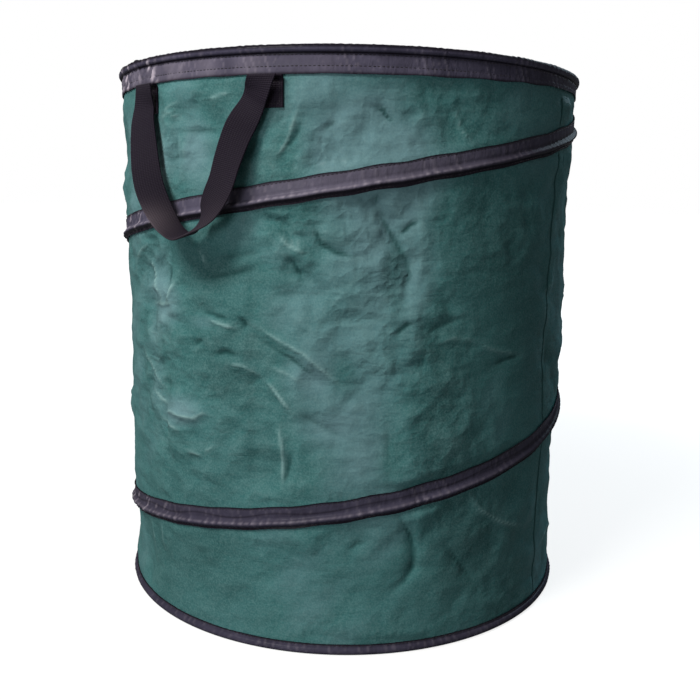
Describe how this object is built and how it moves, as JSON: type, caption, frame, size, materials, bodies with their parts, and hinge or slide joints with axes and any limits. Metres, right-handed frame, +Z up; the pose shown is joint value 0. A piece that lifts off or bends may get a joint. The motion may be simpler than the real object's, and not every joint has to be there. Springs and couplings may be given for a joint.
{
  "type": "pop-up garden waste bag",
  "caption": "Round open-topped cloth bag for garden waste, held up by sprung wire hoops and a spiral wire, with webbing carrying handles.",
  "frame": {"origin": "middle of the base on the ground", "axes": "+Z up through the bag's axis, the front handle at -Y and the back handle at +Y"},
  "size_m": [0.4668, 0.521, 0.5149],
  "materials": {
    "green_cloth": "coated woven cloth, slightly shiny, creased",
    "binding_tape": "dark folded tape, satin",
    "webbing": "matt woven webbing",
    "thread": "sewing thread",
    "spring_steel": "drawn spring wire"
  },
  "bodies": {
    "base": {"body_panel": "green_cloth", "base_panel": "green_cloth", "side_seam_tape": "binding_tape", "side_seam_stitch": "thread", "base_hoop": "spring_steel", "base_hoop_sleeve": "spring_steel", "base_binding": "binding_tape", "base_stitch": "thread", "spiral_spring": "spring_steel", "spiral_binding": "binding_tape", "spiral_upper_stitch": "thread", "spiral_lower_stitch": "thread"},
    "rim": {"rim_binding": "binding_tape", "rim_hoop": "spring_steel", "rim_hoop_sleeve": "spring_steel", "rim_lower_stitch": "thread", "rim_upper_stitch": "thread", "handle_front_end_left": "webbing", "handle_front_end_right": "webbing", "handle_back_end_left": "webbing", "handle_back_end_right": "webbing", "handle_front_end_left_stitch": "thread", "handle_front_end_right_stitch": "thread", "handle_back_end_left_stitch": "thread", "handle_back_end_right_stitch": "thread"},
    "handle_front": {"handle_front_loop": "webbing"},
    "handle_back": {"handle_back_loop": "webbing"}
  },
  "joints": [
    {"name": "collapse", "type": "slide", "parent": "base", "child": "rim", "axis": [0, 0, -1], "range_m": [0, 0.45], "stiffness_N_per_m": 60, "springref_m": -0.15, "deforming": ["body_panel", "side_seam_tape", "side_seam_stitch", "spiral_spring", "spiral_binding", "spiral_upper_stitch", "spiral_lower_stitch"]},
    {"name": "handle_front_swing", "type": "hinge", "parent": "rim", "child": "handle_front", "pos_m": [0, -0.229, 0.4917], "axis": [-1, 0, 0], "range_deg": [0, 180]},
    {"name": "handle_back_swing", "type": "hinge", "parent": "rim", "child": "handle_back", "pos_m": [0, 0.229, 0.4917], "axis": [1, 0, 0], "range_deg": [0, 180]}
  ]
}
